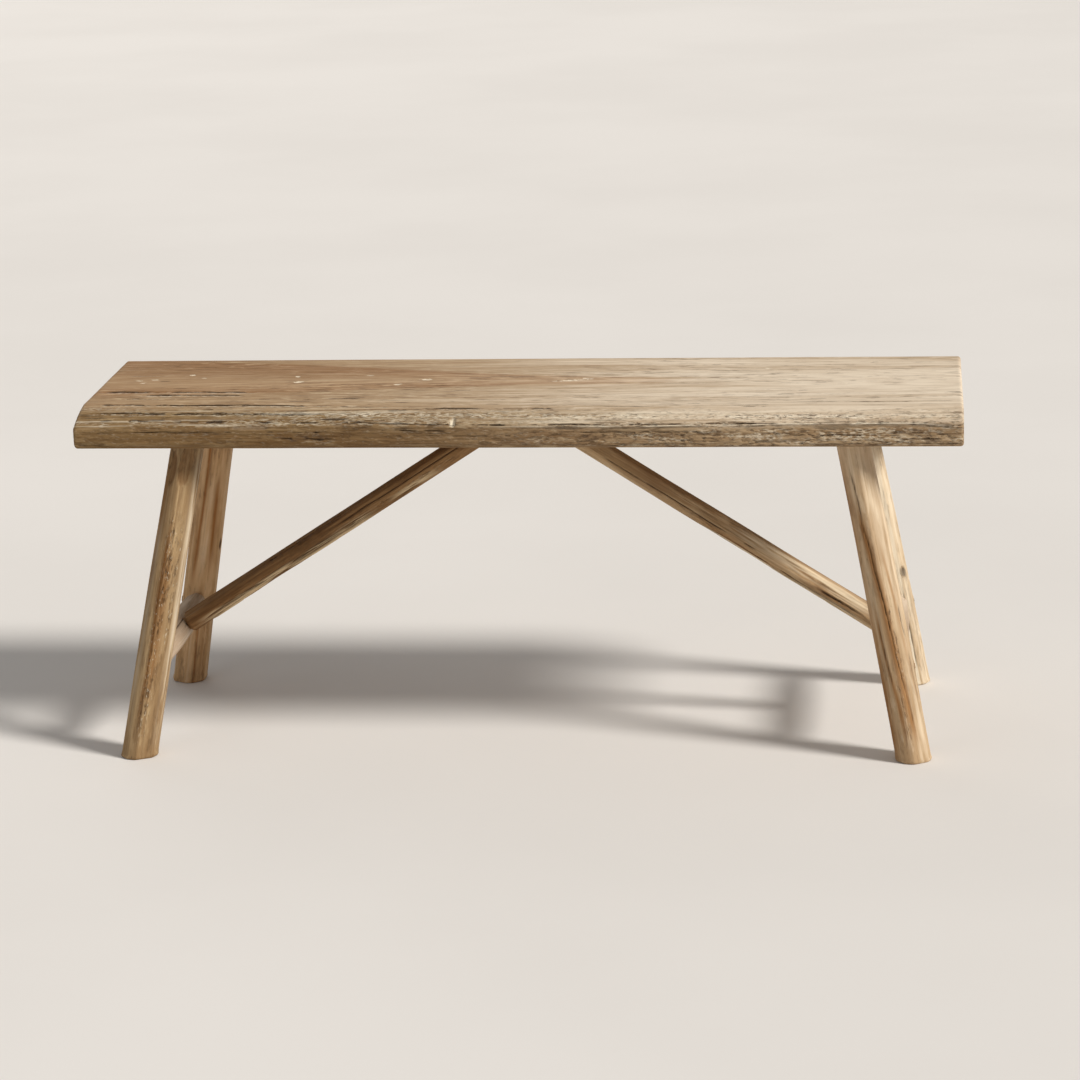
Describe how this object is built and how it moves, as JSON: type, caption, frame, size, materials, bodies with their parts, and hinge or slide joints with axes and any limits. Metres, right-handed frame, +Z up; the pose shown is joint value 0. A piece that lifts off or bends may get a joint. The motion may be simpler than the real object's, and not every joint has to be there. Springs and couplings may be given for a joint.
{
  "type": "wooden bench",
  "caption": "Rustic bench: one thick waney-edged plank on splayed pole legs, with end stretchers and diagonal braces rising to the middle of the seat",
  "frame": {"origin": "on the floor, under the middle of the bench's bounding box", "axes": "+X along the plank to the right as seen from the waney front edge, +Y to the back edge, +Z up"},
  "size_m": [1.12, 0.383, 0.45],
  "materials": {
    "seat_wood": "dry weathered",
    "pole_wood": "dry weathered",
    "brace_wood": "dry weathered",
    "peg_wood": "dry",
    "screw_steel": "satin"
  },
  "bodies": {
    "root": {"seat": "seat_wood", "leg_front_left": "pole_wood", "leg_front_right": "pole_wood", "leg_rear_left": "pole_wood", "leg_rear_right": "pole_wood", "stretcher_left": "pole_wood", "stretcher_right": "pole_wood", "brace_left": "brace_wood", "brace_right": "brace_wood", "wedge_front_left": "peg_wood", "wedge_front_right": "peg_wood", "wedge_rear_left": "peg_wood", "wedge_rear_right": "peg_wood", "stretcher_pegs": "peg_wood", "brace_pegs": "peg_wood", "brace_screws": "screw_steel"}
  },
  "joints": []
}
